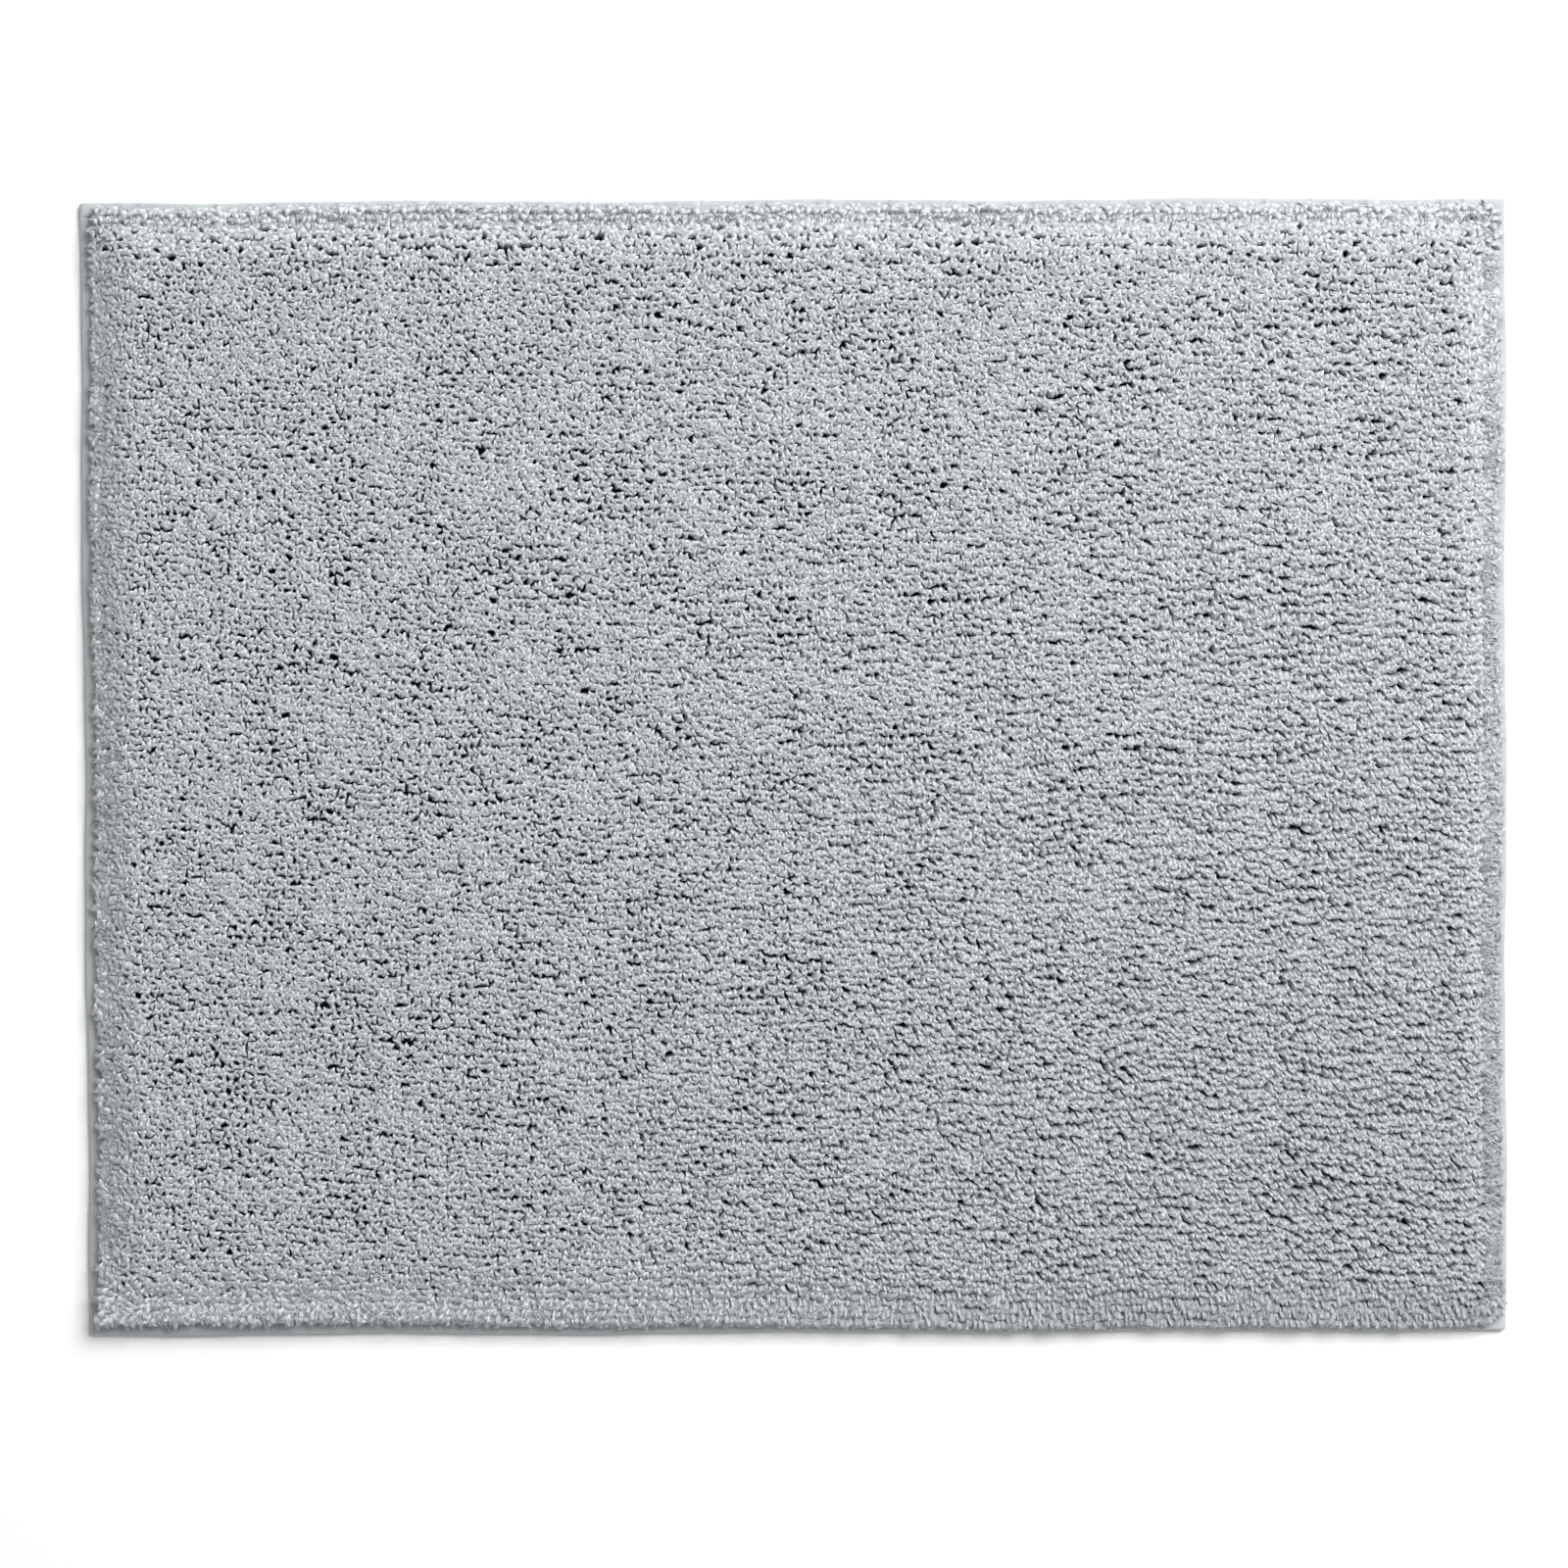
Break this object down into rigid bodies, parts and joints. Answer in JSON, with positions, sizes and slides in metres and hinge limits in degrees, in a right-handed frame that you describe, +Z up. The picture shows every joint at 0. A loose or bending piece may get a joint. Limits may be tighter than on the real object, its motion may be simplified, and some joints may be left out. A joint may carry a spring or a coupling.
{
  "type": "bath mat",
  "caption": "Rectangular tufted cut-pile bath mat with straight tuft rows, a folded and sewn woven tape round its rim, and a latex anti-slip coat underneath.",
  "frame": {"origin": "middle of the latex coat's underside, on the floor, centred in both directions", "axes": "+X along the tuft rows (the mat's long way), +Y towards the back edge, +Z up through the pile"},
  "size_m": [0.7, 0.558, 0.0179],
  "materials": {
    "pile_yarn": "matte twisted cut-pile yarn, cool mid grey, darker at its roots",
    "ground_cloth": "matte plain-woven cloth, grey",
    "binding_tape": "matte fine twill-woven tape, the pile's grey and slightly darker",
    "sewing_thread": "lightly lustrous twisted thread in the pile's grey",
    "latex_coat": "dull sprayed latex, pale grey, with the back stitches showing through as ribs"
  },
  "bodies": {
    "root": {"binding_tape_back": "binding_tape", "binding_tape_front": "binding_tape", "binding_tape_left": "binding_tape", "binding_tape_right": "binding_tape", "bobbin_thread_back": "sewing_thread", "bobbin_thread_front": "sewing_thread", "bobbin_thread_left": "sewing_thread", "bobbin_thread_right": "sewing_thread", "ground_cloth": "ground_cloth", "latex_coat": "latex_coat", "needle_thread_back": "sewing_thread", "needle_thread_front": "sewing_thread", "needle_thread_left": "sewing_thread", "needle_thread_right": "sewing_thread", "tuft_rows_01": "pile_yarn", "tuft_rows_02": "pile_yarn", "tuft_rows_03": "pile_yarn", "tuft_rows_04": "pile_yarn", "tuft_rows_05": "pile_yarn", "tuft_rows_06": "pile_yarn", "tuft_rows_07": "pile_yarn", "tuft_rows_08": "pile_yarn", "tuft_rows_09": "pile_yarn", "tuft_rows_10": "pile_yarn", "tuft_rows_11": "pile_yarn", "tuft_rows_12": "pile_yarn", "tuft_rows_13": "pile_yarn", "tuft_rows_14": "pile_yarn", "tuft_rows_15": "pile_yarn", "tuft_rows_16": "pile_yarn", "tuft_rows_17": "pile_yarn", "tuft_rows_18": "pile_yarn", "tuft_rows_19": "pile_yarn", "tuft_rows_20": "pile_yarn", "tuft_rows_21": "pile_yarn", "tuft_rows_22": "pile_yarn", "tuft_rows_23": "pile_yarn", "tuft_rows_24": "pile_yarn", "tuft_rows_25": "pile_yarn", "tuft_rows_26": "pile_yarn", "tuft_rows_27": "pile_yarn", "tuft_rows_28": "pile_yarn", "tuft_rows_29": "pile_yarn", "tuft_rows_30": "pile_yarn", "tuft_rows_31": "pile_yarn", "tuft_rows_32": "pile_yarn", "tuft_rows_33": "pile_yarn", "tuft_rows_34": "pile_yarn", "tuft_rows_35": "pile_yarn", "tuft_rows_36": "pile_yarn", "tuft_rows_37": "pile_yarn", "tuft_rows_38": "pile_yarn", "tuft_rows_39": "pile_yarn", "tuft_rows_40": "pile_yarn", "tuft_rows_41": "pile_yarn", "tuft_rows_42": "pile_yarn"}
  },
  "joints": []
}
